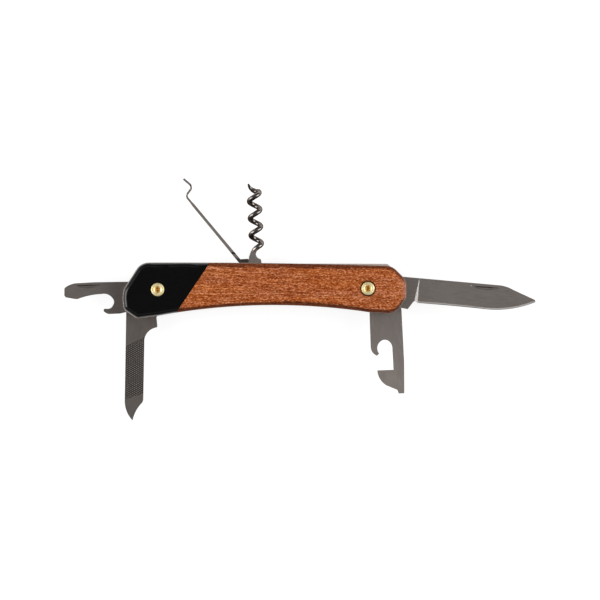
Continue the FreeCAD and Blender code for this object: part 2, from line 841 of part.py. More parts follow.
def grind_blade(body, thickness):
    """Hollow both faces away from the spine to the edge, behind a sloping plunge line."""
    doc.recompute()
    before = body.Shape.Volume
    spine = size("blade_width") * BLADE_BACK_SHARES[-1][1]
    wedge = body.newObject("PartDesign::SubtractiveWedge", "main_blade_grind")
    wedge.Placement = Placement(Vector(), Rotation(Vector(1, 0, 0), 90))
    slope = "atan(Sizes.blade_grind_depth / Sizes.blade_width)"
    wedge.setExpression("Placement.Rotation.Angle", f"90 deg + {slope}")
    run = size("blade_plunge_run") * 2
    choil = size("blade_length") * BLADE_EDGE_SHARES[0][0]
    wedge.setExpression("Placement.Base.x", (choil + size("blade_plunge") - run).text)
    wedge.setExpression("Placement.Base.y", spine.text)
    wedge.setExpression("Placement.Base.z", (thickness * 0.5).text)
    reach = size("blade_length") + OVERRUN
    width = size("blade_width") + OVERRUN
    spans = {
        "Xmin": run,
        "X2min": ZERO,
        "Xmax": reach,
        "X2max": reach,
        "Ymin": ZERO,
        "Ymax": size("blade_grind_depth") * 2,
        "Zmin": -OVERRUN,
        "Z2min": -OVERRUN,
        "Zmax": width,
        "Z2max": width,
    }
    for name, span in spans.items():
        setattr(wedge, name, span.value)
        wedge.setExpression(name, span.text)
    mirrored = body.newObject("PartDesign::Mirrored", "main_blade_grind_mirror")
    mirrored.Originals = [wedge]
    mirrored.MirrorPlane = (origin_plane(body, "XY_Plane"), [""])
    body.Tip = mirrored
    check_cut(body, before)


def sharpen_blade(body, corners, thickness):
    """Bevel both sides of the cutting edge, from the choil to the point."""
    names = []
    for index, edge in enumerate(body.Tip.Shape.Edges, start=1):
        ends = [Vector(end.Point.x, end.Point.y, 0) for end in edge.Vertexes]
        flat = abs(edge.Vertexes[0].Point.z - edge.Vertexes[-1].Point.z) < thickness.value * 0.5
        on_edge = all(any((end - corner).Length < SAME_PLACE for corner in corners) for end in ends)
        if flat and on_edge and (ends[0] - ends[-1]).Length > SAME_PLACE:
            names.append(f"Edge{index}")
    bevel = body.newObject("PartDesign::Chamfer", "main_blade_bevel")
    bevel.Base = (bevel.BaseFeature, names)
    bevel.ChamferType = "Two distances"
    bevel.setExpression("Size", "Sizes.blade_bevel_width")
    bevel.setExpression("Size2", "Sizes.blade_bevel_depth")
    doc.recompute()


def can_opener():
    thickness = size("opener_thickness")
    outline = on_tool(CAN_OPENER_SHARES, size("can_opener_length"), size("can_opener_width"))
    shoulder = (size("can_opener_length") * CAN_SHOULDER_SHARE, size("tang_radius"))
    body = tool("can_opener", outline + [shoulder] + tang(), thickness)
    round_corners(body, "shoulder_round", [outline[-1]], size("shoulder_round"))
    place(body, HALF_SPACING, ZERO, OPENER_Z + OPENER_GAP * 0.5, "can_opener_rest_angle")
    return body


def bottle_opener():
    thickness = size("opener_thickness")
    outline = on_tool(BOTTLE_OPENER_SHARES, size("bottle_opener_length"), size("bottle_opener_width"))
    body = tool("bottle_opener", outline + tang(), thickness)
    rise = -size("bottle_nick_rise")
    nail_nick(body, size("bottle_nick_start"), rise, size("bottle_nick_depth"), thickness)
    place(body, -HALF_SPACING, ZERO, OPENER_Z + OPENER_GAP * 0.5, "bottle_opener_rest_angle")
    return body


def nail_file():
    thickness = size("file_thickness")
    outline = on_tool(FILE_SHARES, size("file_length"), size("file_width"))
    shoulder = (size("file_length") * FILE_SHOULDER_SHARE, -size("tang_radius"))
    body = tool("nail_file", [shoulder] + outline + tang(), thickness)
    round_corners(body, "shoulder_round", [outline[0]], size("shoulder_round"))
    teeth = new_sketch(body, "teeth", lift=thickness * 0.5)
    draw_outline(teeth, on_tool(FILE_CUT_SHARES, size("file_length"), size("file_width")))
    pocket(body, teeth, size("file_cut_depth"))
    place(body, -HALF_SPACING, ZERO, FILE_Z + FILE_GAP * 0.5, "file_rest_angle")
    return body


def worm_point(quarter):
    """A place on the worm's centre line, counted in quarter turns from its left side."""
    angle = (quarter - 1) * math.pi / 2
    lead = min(1, quarter / 2)
    radius = SIZES["worm_radius"] * (WORM_LEAD_SHARE + (1 - WORM_LEAD_SHARE) * lead)
    along = SIZES["worm_start"] + SIZES["worm_pitch"] * quarter / QUARTERS_PER_TURN
    last = max(0, quarter - WORM_TURNS * QUARTERS_PER_TURN + WORM_SAG_QUARTERS)
    along -= SIZES["worm_tip_sag"] * (1 - math.cos(2 * math.pi * last / WORM_SAG_QUARTERS)) / 2
    return Vector(along, -SIZES["worm_offset"] - radius * math.sin(angle), radius * math.cos(angle))


def worm_way(quarter):
    step = 1e-4
    return (worm_point(quarter + step) - worm_point(max(0, quarter - step))).normalize()


def arc_between(start, apex, end):
    """The arc from start to end whose end tangents meet at the apex."""
    middle = (start + end) * 0.5
    rise = apex - middle
    half_chord = (end - start).Length / 2
    sagitta = half_chord * math.tan(math.atan2(rise.Length, half_chord) / 2)
    return Part.Arc(start, middle + rise.normalize() * sagitta, end).toShape()


def biarc(start, start_way, end, end_way):
    """Two tangent arcs that leave the start and reach the end in the given directions."""
    across = end - start
    both = start_way + end_way
    spread = 2 * (1 - start_way.dot(end_way))
    reach = (-across.dot(both) + math.sqrt(across.dot(both) ** 2 + spread * across.dot(across))) / spread
    first_apex = start + start_way * reach
    second_apex = end - end_way * reach
    joint = (first_apex + second_apex) * 0.5
    return [arc_between(start, first_apex, joint), arc_between(joint, second_apex, end)]


def worm_spine(first, last):
    edges = []
    for quarter in range(first, last):
        start, end = worm_point(quarter), worm_point(quarter + 1)
        edges += biarc(start, worm_way(quarter), end, worm_way(quarter + 1))
    return Part.Wire(edges)


def ring(quarter, radius):
    return Part.Wire(Part.Circle(worm_point(quarter), worm_way(quarter), radius).toShape())


def tube(first, last, first_radius, last_radius):
    shell = Part.BRepOffsetAPI.MakePipeShell(worm_spine(first, last))
    shell.add(ring(first, first_radius))
    if last_radius != first_radius:
        shell.add(ring(last, last_radius))
    shell.build()
    shell.makeSolid()
    return shell.shape()


def report_worm_gap():
    """Print the least gap between turns of the worm that lie a half turn or more apart."""
    quarters = WORM_TURNS * QUARTERS_PER_TURN
    points = [worm_point(index / GAP_SAMPLES) for index in range(quarters * GAP_SAMPLES + 1)]
    half_turn = GAP_SAMPLES * QUARTERS_PER_TURN // 2
    nearest = min(
        (points[first] - points[second]).Length
        for first in range(len(points))
        for second in range(first + half_turn, len(points))
    )
    print(f"worm: least gap to itself {nearest - 2 * SIZES['worm_wire_radius']:.2f} mm")


def corkscrew_worm():
    quarters = WORM_TURNS * QUARTERS_PER_TURN
    taper = quarters - WORM_TAPER_QUARTERS
    wire = SIZES["worm_wire_radius"]
    shape = tube(0, taper, wire, wire).fuse(tube(taper, quarters, wire, SIZES["worm_tip_radius"]))
    worm = doc.addObject("Part::Feature", "corkscrew_worm")
    worm.Shape = shape
    place(worm, PIN_X, PIN_Y, LANE_Z, "corkscrew_rest_angle")
    report_worm_gap()
    return worm


def corkscrew():
    """A flat tang on the back pin, drawn out into a right-handed worm."""
    thickness = size("corkscrew_tang_thickness")
    radius = size("corkscrew_tang_radius")
    outline = on_tool(CORKSCREW_TANG_SHARES, size("corkscrew_neck"), radius)
    body = plate("corkscrew_tang", outline + [(ZERO, radius), (-radius, ZERO, VIA), (ZERO, -radius)],
                 thickness * -0.5, thickness)
    bore = size("back_pin_radius") + size("running_clearance")
    top = thickness * 0.5 + OVERRUN
    drill(body, "pin_hole", [(ZERO, ZERO)], bore, top, top * 2)
    place(body, PIN_X, PIN_Y, LANE_Z, "corkscrew_rest_angle")
    whole = doc.addObject("Part::Fuse", "corkscrew")
    whole.Base = body
    whole.Tool = corkscrew_worm()
    return whole


def corkscrew_spacer():
    """A washer on the back pin between the corkscrew's tang and the front divider."""
    tang_top = LANE_Z + size("corkscrew_tang_thickness") * 0.5 + size("side_play")
    thickness = BLADE_DIVIDER_Z - tang_top
    body = new_body("corkscrew_spacer")
    ring_sketch = new_sketch(body, "ring")
    draw_circle(ring_sketch, (ZERO, ZERO), size("spacer_radius"))
    draw_circle(ring_sketch, (ZERO, ZERO), size("back_pin_radius") + size("running_clearance"))
    pad(body, ring_sketch, thickness)
    place(body, PIN_X, PIN_Y, tang_top)
    return body


def strip_hook():
    """A thin strip with an S-bent end, on the back pin behind the corkscrew."""
    reach = size("hook_reach")
    offset = size("hook_offset")
    width = size("hook_width")
    radius = size("hook_tang_radius")
    half = size("hook_strip") * 0.5
    half_tip = size("hook_tip_strip") * 0.5
    outline = on_tool(HOOK_TANG_SHARES, reach, offset - half) + [
        (reach * HOOK_THIN_SHARE, offset - half),
        (reach * HOOK_TIP_START_SHARE, offset - half_tip),
        (reach * HOOK_TIP_START_SHARE, offset + half_tip),
        (reach * HOOK_THIN_SHARE, offset + half),
        (ZERO, offset + half),
        (-radius, ZERO, VIA),
        (ZERO, -radius),
    ]
    body = plate("strip_hook", outline, ZERO, width)
    top = width + OVERRUN
    bore = size("back_pin_radius") + size("running_clearance")
    drill(body, "pin_hole", [(ZERO, ZERO)], bore, top, top + OVERRUN)
    hook_end(body, reach, offset, width, half_tip)
    groove = new_sketch(body, "groove", lift=width)
    near = size("hook_groove_place")
    far = near + size("hook_groove_width")
    low, high = offset - half - OVERRUN, offset + half + OVERRUN
    draw_outline(groove, [(near, low), (far, low), (far, high), (near, high)])
    pocket(body, groove, size("hook_groove_depth"))
    place(body, PIN_X, PIN_Y, FILE_Z + size("side_play"), "hook_rest_angle")
    return body


def hook_end(body, reach, offset, width, half_tip):
    """Sweep the thin end of the strip round its two bends."""
    start = reach * HOOK_TIP_START_SHARE
    corners = [
        (start, offset),
        (reach * HOOK_FIRST_BEND_SHARE, offset),
        (reach * HOOK_SECOND_BEND_SHARES[0], offset * HOOK_SECOND_BEND_SHARES[1]),
        (reach, offset * HOOK_POINT_SHARE),
    ]
    path = new_sketch(body, "path", lift=width * 0.5)
    draw_bent_path(path, corners, size("hook_bend_radius"))
    section = new_sketch(body, "section", role="YZ_Plane", lift=start)
    low, high = offset - half_tip, offset + half_tip
    draw_outline(section, [(low, ZERO), (high, ZERO), (high, width), (low, width)])
    sweep = body.newObject("PartDesign::AdditivePipe", "strip_hook_end")
    sweep.Profile = section
    sweep.Spine = path
    doc.recompute()


def draw_bent_path(sketch, corners, radius):
    """Draw straight runs through the corners, joined by tangent arcs of one radius."""
    places = [vector(corner) for corner in corners]
    ways = [(second - first).normalize() for first, second in zip(places, places[1:])]
    runs = []
    starts = [places[0]]
    arcs = []
    for corner, before, after in zip(places[1:-1], ways, ways[1:]):
        turn = math.atan2(before.cross(after).z, before.dot(after))
        back = radius.value * math.tan(abs(turn) / 2)
        entry, leave = corner - before * back, corner + after * back
        side = Vector(-before.y, before.x, 0) * math.copysign(radius.value, turn)
        runs.append((starts[-1], entry))
        starts.append(leave)
        arcs.append((entry + side, entry, leave, turn > 0))
    runs.append((starts[-1], places[-1]))
    lines = [sketch.addGeometry(Part.LineSegment(*run), False) for run in runs]
    for index, (centre, entry, leave, counterclockwise) in enumerate(arcs):
        circle = Part.Circle(centre, Vector(0, 0, 1), radius.value)
        ends = (entry, leave) if counterclockwise else (leave, entry)
        arc = sketch.addGeometry(Part.ArcOfCircle(circle, *[circle.parameter(end) for end in ends]), False)
        entry_position, leave_position = (1, 2) if counterclockwise else (2, 1)
        sketch.addConstraint(Sketcher.Constraint("Tangent", lines[index], 2, arc, entry_position))
        sketch.addConstraint(Sketcher.Constraint("Tangent", arc, leave_position, lines[index + 1], 1))
        bind(sketch, "Radius", (arc,), radius)
    pin_point(sketch, lines[0], 1, corners[0])
    pin_point(sketch, lines[-1], 2, corners[-1])
    for index, corner in enumerate(corners[1:-1]):
        mark = sketch.addGeometry(Part.Point(vector(corner)), True)
        pin_point(sketch, mark, 1, corner)
        sketch.addConstraint(Sketcher.Constraint("PointOnObject", mark, 1, lines[index]))
        sketch.addConstraint(Sketcher.Constraint("PointOnObject", mark, 1, lines[index + 1]))


def build():
    fill_sheet()
    pieces = []
    pieces += scale_pair("rear", ZERO, ZERO)
    pieces += scale_pair("front", size("scale_thickness"), FRONT_SCALE_Z)
    pieces.append(liner("rear_liner", REAR_LINER_Z, size("liner_thickness")))
    pieces.append(file_divider())
    pieces.append(liner("blade_divider", BLADE_DIVIDER_Z, size("divider_thickness")))
    pieces.append(liner("front_liner", FRONT_LINER_Z, size("liner_thickness")))
    pieces.append(rivet("left_rivet", -HALF_SPACING))
    pieces.append(rivet("right_rivet", HALF_SPACING))
    pieces.append(straight_pin("back_tool_pin", (PIN_X, PIN_Y), size("back_pin_radius")))
    pieces.append(straight_pin("spring_pin", (SPRING_PIN_X, SPRING_PIN_Y), size("spring_pin_radius")))
    pieces.append(blade_spring())
    pieces.append(opener_spring())
    pieces.append(file_spring())
    pieces.append(main_blade())
    pieces.append(can_opener())
    pieces.append(bottle_opener())
    pieces.append(nail_file())
    pieces.append(corkscrew())
    pieces.append(corkscrew_spacer())
    pieces.append(strip_hook())
    doc.recompute()
    return pieces


def check(pieces):
    for item in doc.Objects:
        if "Invalid" in item.State or "Error" in item.State:
            raise RuntimeError(f"{item.Label}: {item.State}")
    for piece in pieces:
        shape = piece.Shape
        if shape.isNull() or not shape.isValid() or len(shape.Solids) != 1:
            raise RuntimeError(f"{piece.Label}: not one valid solid")


def write(pieces):
    os.makedirs("parts", exist_ok=True)
    for piece in pieces:
        piece.Shape.exportStep(f"parts/{piece.Label}.step")


pieces = build()
check(pieces)
write(pieces)
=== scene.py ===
import json
import math

import bmesh
import bpy
from mathutils import Matrix, Vector

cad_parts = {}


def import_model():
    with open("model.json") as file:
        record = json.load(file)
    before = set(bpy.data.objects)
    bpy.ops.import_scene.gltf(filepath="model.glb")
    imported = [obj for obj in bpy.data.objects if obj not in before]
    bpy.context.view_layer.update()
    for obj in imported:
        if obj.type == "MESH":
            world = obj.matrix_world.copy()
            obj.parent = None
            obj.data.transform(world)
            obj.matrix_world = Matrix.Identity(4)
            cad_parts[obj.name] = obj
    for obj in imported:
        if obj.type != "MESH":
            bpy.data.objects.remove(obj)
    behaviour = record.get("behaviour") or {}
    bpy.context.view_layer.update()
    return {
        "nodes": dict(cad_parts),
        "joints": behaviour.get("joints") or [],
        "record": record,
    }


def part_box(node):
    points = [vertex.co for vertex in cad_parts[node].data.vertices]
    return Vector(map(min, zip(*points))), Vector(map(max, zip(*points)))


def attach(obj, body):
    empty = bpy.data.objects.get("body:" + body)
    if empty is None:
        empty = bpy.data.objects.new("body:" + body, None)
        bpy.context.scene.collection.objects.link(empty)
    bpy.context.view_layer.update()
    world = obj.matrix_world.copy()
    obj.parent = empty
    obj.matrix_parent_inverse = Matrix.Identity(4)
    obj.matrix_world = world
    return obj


# The folding pocket knife of the frame, dressed and lit for a straight view of its front scale.
# All lengths are in metres, in the frame's own axes.

MM = 0.001

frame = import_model()
nodes = frame["nodes"]
joints = {joint["child"]: joint for joint in frame["joints"]}


# Materials


def grey(level):
    return (level, level, level)


def fill(ramp, stops):
    """Give a colour ramp node its stops, each a place from 0 to 1 and a colour."""
    elements = ramp.color_ramp.elements
    while len(elements) < len(stops):
        elements.new(0.5)
    for element, (place, colour) in zip(elements, stops):
        element.position = place
        element.color = (*colour, 1.0)


class Nodes:
    """A material's node tree, with short calls for the nodes that the materials share."""

    def __init__(self, name):
        self.material = bpy.data.materials.new(name)
        self.material.use_nodes = True
        self.tree = self.material.node_tree
        self.shader = self.tree.nodes["Principled BSDF"]

    def add(self, kind, **settings):
        node = self.tree.nodes.new(kind)
        for name, value in settings.items():
            setattr(node, name, value)
        return node

    def link(self, source, target):
        self.tree.links.new(source, target)

    def set(self, **values):
        for name, value in values.items():
            self.shader.inputs[name.replace("_", " ")].default_value = value

    def stretched(self, scale, turn=0.0):
        """The piece's own coordinates, turned about Z and then scaled along each axis."""
        place = self.add("ShaderNodeTexCoord")
        turned = self.add("ShaderNodeMapping", vector_type="POINT")
        turned.inputs["Rotation"].default_value = (0, 0, turn)
        scaled = self.add("ShaderNodeMapping", vector_type="POINT")
        scaled.inputs["Scale"].default_value = scale
        self.link(place.outputs["Object"], turned.inputs["Vector"])
        self.link(turned.outputs["Vector"], scaled.inputs["Vector"])
        return scaled.outputs["Vector"]

    def noise(self, vector, detail, roughness=0.5, distortion=0.0):
        texture = self.add("ShaderNodeTexNoise")
        texture.inputs["Scale"].default_value = 1.0
        texture.inputs["Detail"].default_value = detail
        texture.inputs["Roughness"].default_value = roughness
        texture.inputs["Distortion"].default_value = distortion
        self.link(vector, texture.inputs["Vector"])
        return texture.outputs["Fac"]

    def ramp(self, value, stops):
        ramp = self.add("ShaderNodeValToRGB")
        fill(ramp, stops)
        self.link(value, ramp.inputs["Fac"])
        return ramp.outputs["Color"]

    def mix(self, kind, factor, first, second):
        """Mix two colours by the same share all over the surface."""
        mix = self.add("ShaderNodeMix", data_type="RGBA", blend_type=kind)
        mix.inputs["Factor"].default_value = factor
        self.link(first, mix.inputs["A"])
        self.link(second, mix.inputs["B"])
        return mix.outputs["Result"]

    def blend(self, factor, first, second):
        """Mix two colours by a share that changes over the surface."""
        mix = self.add("ShaderNodeMix", data_type="RGBA")
        self.link(factor, mix.inputs["Factor"])
        self.link(first, mix.inputs["A"])
        self.link(second, mix.inputs["B"])
        return mix.outputs["Result"]

    def along(self, axis, first, second):
        """How far a place on the piece lies from one place on an axis to another, from 0 to 1."""
        split = self.add("ShaderNodeSeparateXYZ")
        self.link(self.stretched((1, 1, 1)), split.inputs["Vector"])
        span = self.add("ShaderNodeMapRange", interpolation_type="SMOOTHSTEP")
        span.inputs["From Min"].default_value = first
        span.inputs["From Max"].default_value = second
        self.link(split.outputs[axis], span.inputs["Value"])
        return span.outputs["Result"]

    def lean(self, axis):
        """How far the piece's own surface leans against an axis: 0.5 when level, 1 when upright."""
        place = self.add("ShaderNodeTexCoord")
        split = self.add("ShaderNodeSeparateXYZ")
        span = self.add("ShaderNodeMapRange")
        span.inputs["From Min"].default_value = 1.0
        span.inputs["From Max"].default_value = -1.0
        self.link(place.outputs["Normal"], split.inputs["Vector"])
        self.link(split.outputs[axis], span.inputs["Value"])
        return span.outputs["Result"]

    def away(self, radius):
        """How far a place lies from the axis of the nearer rivet: 0 on the axis, 1 at a radius."""
        place = self.add("ShaderNodeTexCoord")
        folded = self.add("ShaderNodeVectorMath", operation="ABSOLUTE")
        flat = self.add("ShaderNodeVectorMath", operation="MULTIPLY")
        flat.inputs[1].default_value = (1, 1, 0)
        distance = self.add("ShaderNodeVectorMath", operation="DISTANCE")
        distance.inputs[1].default_value = (joints["main_blade"]["pos_m"][0], 0, 0)
        span = self.add("ShaderNodeMapRange")
        span.inputs["From Max"].default_value = radius
        self.link(place.outputs["Object"], folded.inputs[0])
        self.link(folded.outputs["Vector"], flat.inputs[0])
        self.link(flat.outputs["Vector"], distance.inputs[0])
        self.link(distance.outputs["Value"], span.inputs["Value"])
        return span.outputs["Result"]

    def span(self, value, low, high):
        """A value from 0 to 1, spread from a low to a high one."""
        span = self.add("ShaderNodeMapRange")
        span.inputs["To Min"].default_value = low
        span.inputs["To Max"].default_value = high
        self.link(value, span.inputs["Value"])
        return span.outputs["Result"]

    def bump(self, height, strength, distance):
        bump = self.add("ShaderNodeBump")
        bump.inputs["Strength"].default_value = strength
        bump.inputs["Distance"].default_value = distance
        self.link(height, bump.inputs["Height"])
        self.link(bump.outputs["Normal"], self.shader.inputs["Normal"])


WARM_STEEL = (1.0, 0.89, 0.82)
# The share by which brushing lightens and darkens the steel.
BRUSH = 0.09


def tint(level):
    """A grey of warm steel."""
    return tuple(channel * level for channel in WARM_STEEL)


def wood():
    """Orange-brown varnished wood: long bands, fine grain, dark pores, and painted shade on the
    long edges.
    """
    look = Nodes("wood")
    bands = look.noise(look.stretched((18, 300, 300), turn=0.02), detail=3, distortion=0.3)
    grain = look.noise(look.stretched((150, 3900, 3900), turn=0.03), detail=2, roughness=0.6)
    fleck = look.noise(look.stretched((1650, 3400, 3400), turn=0.04), detail=0)
    pores = look.noise(look.stretched((480, 3300, 3300), turn=0.06), detail=2, roughness=0.6)
    base = look.ramp(look.mix("MIX", 0.5, grain, fleck), [
        (0.34, (0.19, 0.026, 0.001)),
        (0.45, (0.335, 0.077, 0.012)),
        (0.55, (0.46, 0.131, 0.04)),
        (0.66, (0.73, 0.3, 0.145)),
    ])
    tone = look.ramp(bands, [(0.32, (0.94, 0.89, 0.87)), (0.68, (1.03, 1.04, 1.02))])
    warmth = look.noise(look.stretched((45, 420, 420), turn=0.05), detail=1)
    hue = look.ramp(warmth, [(0.34, (0.96, 1.0, 1.18)), (0.66, (1.05, 1.03, 0.86))])
    dark = look.ramp(pores, [(0.34, (0.3, 0.2, 0.15)), (0.46, grey(1.0))])
    # Painted shade on the long edges, by how far they lean towards +Y and -Y, darkest on their
    # slopes.
    top_edge_shade = (0.34, 0.24, 0.14)
    bottom_edge_shade = (0.2, 0.15, 0.085)
    side = (0.66, 0.58, 0.52)
    edge = look.ramp(look.lean("Y"), [
        (0.0, side), (0.22, top_edge_shade), (0.43, grey(1.0)),
        (0.57, grey(1.0)), (0.76, bottom_edge_shade), (1.0, side),
    ])
    # Painted shade in the gap round each rivet head.
    rivet_gap_shade = look.ramp(look.away(5 * MM), [(0.52, (0.16, 0.12, 0.1)), (0.58, grey(1.0))])
    toned = look.mix("MULTIPLY", 0.6, look.mix("MULTIPLY", 1.0, base, tone), dark)
    toned = look.mix("MULTIPLY", 1.0, look.mix("MULTIPLY", 1.0, toned, hue), rivet_gap_shade)
    look.link(look.mix("MULTIPLY", 1.0, toned, edge), look.shader.inputs["Base Color"])
    worn = look.ramp(look.lean("Y"), [
        (0.25, grey(0.45)), (0.45, grey(0.0)), (0.55, grey(0.0)), (0.75, grey(0.45)),
    ])
    dull = look.mix("ADD", 1.0, look.span(pores, 0.42, 0.3), worn)
    look.link(dull, look.shader.inputs["Roughness"])
    look.set(Specular_IOR_Level=0.2)
    look.bump(pores, strength=0.25, distance=0.05 * MM)
    return look.material


def black_wood():
    """Ebonised wood: the same fine grain, almost black, under a polished varnish."""
    look = Nodes("black_wood")
    grain = look.noise(look.stretched((620, 1900, 1900), turn=0.04), detail=2, roughness=0.6)
    pores = look.noise(look.stretched((900, 3600, 3600), turn=0.07), detail=1)
    base = look.ramp(grain, [(0.3, (0.0004, 0.0004, 0.0005)), (0.75, (0.0018, 0.0017, 0.0018))])
    look.link(base, look.shader.inputs["Base Color"])
    look.link(look.span(pores, 0.22, 0.12), look.shader.inputs["Roughness"])
    look.set(Specular_IOR_Level=0.36)
    look.bump(pores, strength=0.12, distance=0.03 * MM)
    return look.material


# Shades over how far a surface leans, on a tool with a nail nick: its colour towards the edge, with
# a painted highlight on the bevel and painted shade on the nick's steep wall, its colour at the
# plunge towards the tip, dimmed by painted shade, and the roughness that honing adds at the edge.
PLAIN = grey(1.0)
# Painted shade for the nick's steep wall, a painted highlight for the edge's bevel, and painted
# shade that dims the plunge.
STEEP_WALL_SHADE = grey(0.12)
BEVEL_HIGHLIGHT = (1.4, 1.5, 1.56)
PLUNGE_SHADE = (0.6, 0.63, 0.65)
NICK_SHADE_AND_BEVEL_LIGHT = [
    (0.6, PLAIN), (0.65, BEVEL_HIGHLIGHT), (0.75, BEVEL_HIGHLIGHT), (0.8, STEEP_WALL_SHADE), (0.965, STEEP_WALL_SHADE), (0.99, PLAIN),
]
PLUNGE = [(0.05, PLAIN), (0.1, PLUNGE_SHADE), (0.4, PLUNGE_SHADE), (0.45, PLAIN)]
HONED = [(0.6, grey(0.0)), (0.65, grey(0.3)), (0.75, grey(0.3)), (0.8, grey(0.0))]


def ease(share):
    """The smooth step that Nodes.along makes of a share of its range."""
    return share * share * (3 - 2 * share)


def steel(name, colour, roughness, turn=0.0, polish=0.0, shade=None, nick=False):
    """Satin steel, brushed in the direction that turn gives.

    Painted shade may darken the steel along an axis: shade gives the axis, and places on it in mm
    with levels. On a tool with a nail nick, painted shade darkens the nick's steep wall and dims
    the plunge, a painted highlight brightens the edge's slight bevel, and honing roughens that
    bevel.
    """
    look = Nodes(name)
    lines = look.noise(look.stretched((260, 6000, 6000), turn=-turn), detail=3, roughness=0.7)
    clouds = look.noise(look.stretched((130, 130, 130)), detail=3)
    low = tuple(channel * (1 - BRUSH) for channel in colour)
    high = tuple(min(1.0, channel * (1 + BRUSH)) for channel in colour)
    streaks = look.ramp(lines, [(0.3, low), (0.7, high)])
    stain = look.ramp(clouds, [(0.3, (0.93, 0.91, 0.9)), (0.7, grey(1.0))])
    base = look.mix("MULTIPLY", 1.0, streaks, stain)
    # Painted shade: the steel darkened along an axis.
    if shade:
        axis, levels = shade
        first, last = levels[0][0], levels[-1][0]
        stops = [(ease((place - first) / (last - first)), grey(level)) for place, level in levels]
        shaded = look.ramp(look.along(axis, first * MM, last * MM), stops)
        base = look.mix("MULTIPLY", 1.0, base, shaded)
    # Painted shade on the nick's steep wall and the plunge, and a painted highlight on the edge's
    # bevel.
    if nick:
        base = look.mix("MULTIPLY", 1.0, base, look.ramp(look.lean("Y"), NICK_SHADE_AND_BEVEL_LIGHT))
        base = look.mix("MULTIPLY", 1.0, base, look.ramp(look.lean("X"), PLUNGE))
    look.link(base, look.shader.inputs["Base Color"])
    dull = look.span(lines, roughness - 0.05, roughness + 0.07)
    if nick:
        dull = look.mix("ADD", 1.0, dull, look.ramp(look.lean("Y"), HONED))
    look.link(dull, look.shader.inputs["Roughness"])
    look.set(Metallic=1.0)
    look.bump(lines, strength=0.12 * (1 - polish), distance=0.01 * MM)
    return look.material


def worm_steel():
    """The corkscrew: a satin tang, and a dark polished wire, with painted light by the side it
    faces.
    """
    look = Nodes("worm_steel")
    wire = look.along("Y", 13.2 * MM, 14.6 * MM)
    clouds = look.noise(look.stretched((420, 420, 420)), detail=4, roughness=0.6)
    tang = look.ramp(clouds, [(0.3, tint(0.52)), (0.7, tint(0.64))])
    bright = look.ramp(clouds, [(0.3, tint(0.13)), (0.7, tint(0.19))])
    # Painted light on the wire: lighter where it faces +Y, darker where it faces -Y.
    under = look.ramp(look.lean("Y"), [(0.3, grey(1.5)), (0.5, grey(1.0)), (0.7, grey(0.5))])
    worm = look.mix("MULTIPLY", 1.0, bright, under)
    look.link(look.blend(wire, tang, worm), look.shader.inputs["Base Color"])
    look.link(look.span(wire, 0.32, 0.16), look.shader.inputs["Roughness"])
    look.set(Metallic=1.0, Specular_Tint=(0.15, 0.14, 0.13, 1.0))
    look.bump(clouds, strength=0.1, distance=0.02 * MM)
    return look.material


def brass():
    """Pale polished brass, tarnished to gold in spots and in the recess, with painted shade at the
    rim.
    """
    look = Nodes("rivet_brass")
    clouds = look.noise(look.stretched((1100, 1100, 1100)), detail=4, roughness=0.65)
    colour = look.ramp(clouds, [
        (0.32, (0.8, 0.57, 0.2)), (0.5, (0.98, 0.85, 0.48)), (0.7, (1.0, 0.94, 0.7)),
    ])
    # Gold tarnish in the recess, and painted shade round the rim, where the head meets the wood.
    tarnish_and_rim_shade = look.ramp(look.away(2.5 * MM), [
        (0.25, (0.72, 0.5, 0.25)), (0.42, grey(1.0)), (0.9, grey(1.0)), (0.97, (0.22, 0.18, 0.12)),
    ])
    look.link(look.mix("MULTIPLY", 1.0, colour, tarnish_and_rim_shade), look.shader.inputs["Base Color"])
    look.link(look.span(clouds, 0.55, 0.42), look.shader.inputs["Roughness"])
    look.set(Metallic=1.0)
    look.bump(clouds, strength=0.25, distance=0.05 * MM)
    return look.material


def teeth_steel(valley, crest):
    """The file's teeth: rough steel, darkened by painted shade towards the valleys, and worn bright
    on the crests.
    """
    look = Nodes("file_teeth")
    clouds = look.noise(look.stretched((600, 600, 600)), detail=3)
    height = look.along("Z", valley, crest)
    # Painted shade: darker from the crests down to the valleys.
    colour = look.ramp(height, [(0.15, tint(0.075)), (0.6, tint(0.2)), (0.95, tint(0.44))])
    stain = look.ramp(clouds, [(0.3, grey(0.85)), (0.7, grey(1.0))])
    look.link(look.mix("MULTIPLY", 1.0, colour, stain), look.shader.inputs["Base Color"])
    look.link(look.span(clouds, 0.5, 0.4), look.shader.inputs["Roughness"])
    look.set(Metallic=1.0)
    return look.material


def turn_of(child):
    """The direction of a tool's long axis, as the angle of its box's far end from its pivot."""
    low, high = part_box(child)
    pivot = Vector(joints[child]["pos_m"])
    middle = (low + high) * 0.5
    return math.atan2(middle.y - pivot.y, middle.x - pivot.x)


